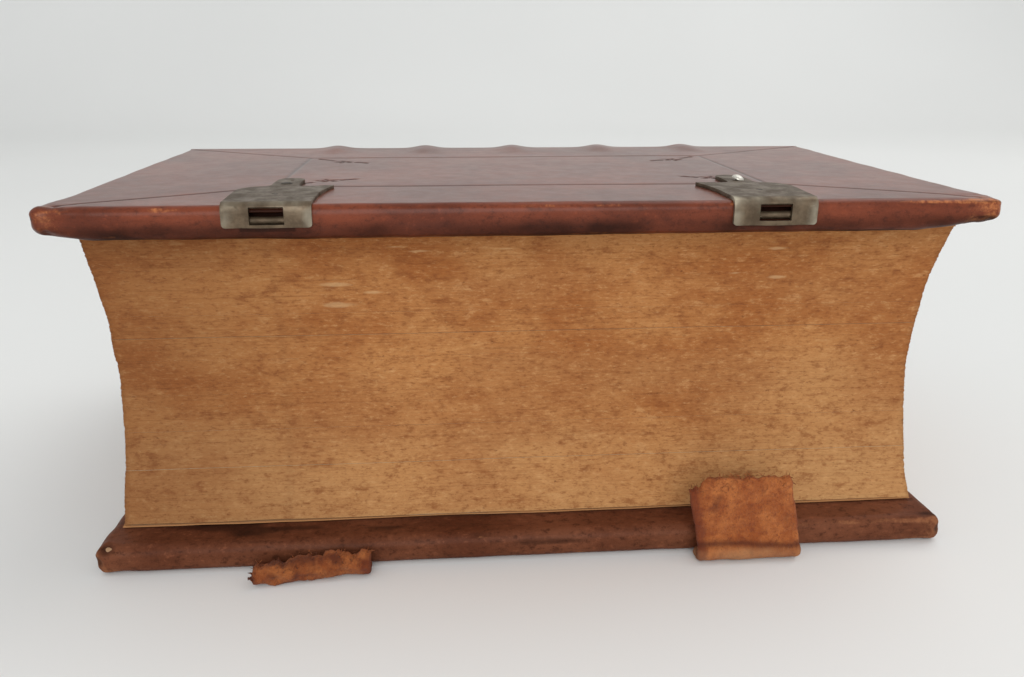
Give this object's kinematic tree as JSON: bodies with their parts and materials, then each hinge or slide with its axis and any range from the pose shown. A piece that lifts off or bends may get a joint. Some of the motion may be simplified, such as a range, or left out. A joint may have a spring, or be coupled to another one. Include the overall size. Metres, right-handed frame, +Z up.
{
  "type": "prayer book",
  "caption": "Thick old prayer book in full leather, hollow stained fore-edge, brass catch plates on the front board and torn clasp straps on the back board.",
  "frame": {"origin": "centre of the lower board's underside, on the surface the closed book lies on", "axes": "+X along the book's height towards its head, +Y from the fore-edge to the spine, +Z up from the lower board to the upper board"},
  "size_m": [0.17, 0.1117, 0.0733],
  "materials": {
    "cover_leather": "old dark red-brown calf, glossy and worn",
    "strap_leather": "orange-brown suede, frayed",
    "text_paper": "brown-stained trimmed edges, matt",
    "endpaper": "aged laid paper, matt",
    "lining_paper": "coarse waste paper, matt",
    "board_wood": "beech, bare",
    "plate_brass": "tarnished grey-brown brass",
    "nail_brass": "dull brass",
    "hemp_cord": "hemp cord, matt",
    "endband_thread": "linen thread, faded"
  },
  "bodies": {
    "lower_cover": {"lower_board": "board_wood", "lower_cover_leather": "cover_leather", "lower_pastedown": "endpaper", "lower_cord_slips": "hemp_cord", "head_strap_root": "strap_leather", "tail_strap_root": "strap_leather", "head_strap_nails": "nail_brass", "tail_strap_nails": "nail_brass"},
    "lower_flyleaf_sheet": {"lower_flyleaf": "endpaper"},
    "pages_back": {"gathering_01": "text_paper", "gathering_02": "text_paper", "gathering_03": "text_paper", "gathering_04": "text_paper", "gathering_05": "text_paper", "gathering_06": "text_paper", "gathering_07": "text_paper", "gathering_08": "text_paper", "gathering_09": "text_paper", "gathering_10": "text_paper", "gathering_11": "text_paper", "gathering_12": "text_paper", "spine_leather": "cover_leather", "spine_linings": "lining_paper", "sewing_cord_1": "hemp_cord", "sewing_cord_2": "hemp_cord", "sewing_cord_3": "hemp_cord", "sewing_cord_4": "hemp_cord", "sewing_cord_5": "hemp_cord", "head_endband": "endband_thread", "tail_endband": "endband_thread", "head_kettle_stitches": "hemp_cord", "tail_kettle_stitches": "hemp_cord"},
    "pages_front": {"gathering_13": "text_paper", "gathering_14": "text_paper", "gathering_15": "text_paper", "gathering_16": "text_paper", "gathering_17": "text_paper", "gathering_18": "text_paper", "gathering_19": "text_paper", "gathering_20": "text_paper", "gathering_21": "text_paper", "gathering_22": "text_paper", "gathering_23": "text_paper", "gathering_24": "text_paper"},
    "upper_flyleaf_sheet": {"upper_flyleaf": "endpaper"},
    "upper_cover": {"upper_board": "board_wood", "upper_cover_leather": "cover_leather", "upper_pastedown": "endpaper", "upper_cord_slips": "hemp_cord", "head_catch_plate": "plate_brass", "tail_catch_plate": "plate_brass", "head_catch_bar": "plate_brass", "tail_catch_bar": "plate_brass", "head_plate_nails": "nail_brass", "tail_plate_nails": "nail_brass"},
    "head_strap": {"head_strap_flap": "strap_leather"},
    "tail_strap": {"tail_strap_stub": "strap_leather"}
  },
  "joints": [
    {"name": "lower_cover_hinge", "type": "hinge", "parent": "lower_cover", "child": "pages_back", "pos_m": [0, 0.0465, 0.0005], "axis": [-1, 0, 0], "range_deg": [0, 30], "deforming": ["spine_leather", "spine_linings", "sewing_cord_1", "sewing_cord_2", "sewing_cord_3", "sewing_cord_4", "sewing_cord_5", "head_endband", "tail_endband", "head_kettle_stitches", "tail_kettle_stitches"]},
    {"name": "lower_flyleaf_turn", "type": "hinge", "parent": "lower_cover", "child": "lower_flyleaf_sheet", "pos_m": [0, 0.0465, 0.0005], "axis": [-1, 0, 0], "range_deg": [0, 15]},
    {"name": "book_opening", "type": "hinge", "parent": "pages_back", "child": "pages_front", "pos_m": [0, 0.05799, 0.036], "axis": [-1, 0, 0], "range_deg": [0, 60]},
    {"name": "upper_flyleaf_turn", "type": "hinge", "parent": "pages_front", "child": "upper_flyleaf_sheet", "pos_m": [0, 0.0465, 0.0715], "axis": [-1, 0, 0], "range_deg": [0, 52.5]},
    {"name": "upper_cover_hinge", "type": "hinge", "parent": "pages_front", "child": "upper_cover", "pos_m": [0, 0.0465, 0.0715], "axis": [-1, 0, 0], "range_deg": [0, 105]},
    {"name": "head_strap_flex", "type": "hinge", "parent": "lower_cover", "child": "head_strap", "pos_m": [0.0439, -0.0488, 0.00235], "axis": [-1, 0, 0], "range_deg": [-75, 8]},
    {"name": "tail_strap_flex", "type": "hinge", "parent": "lower_cover", "child": "tail_strap", "pos_m": [-0.0434, -0.0488, 0.00235], "axis": [-1, 0, 0], "range_deg": [-75, 8]}
  ],
  "couplings": [
    {"joint": "lower_flyleaf_turn", "follows": "lower_cover_hinge", "ratio": 0.5},
    {"joint": "upper_flyleaf_turn", "follows": "upper_cover_hinge", "ratio": 0.5}
  ]
}
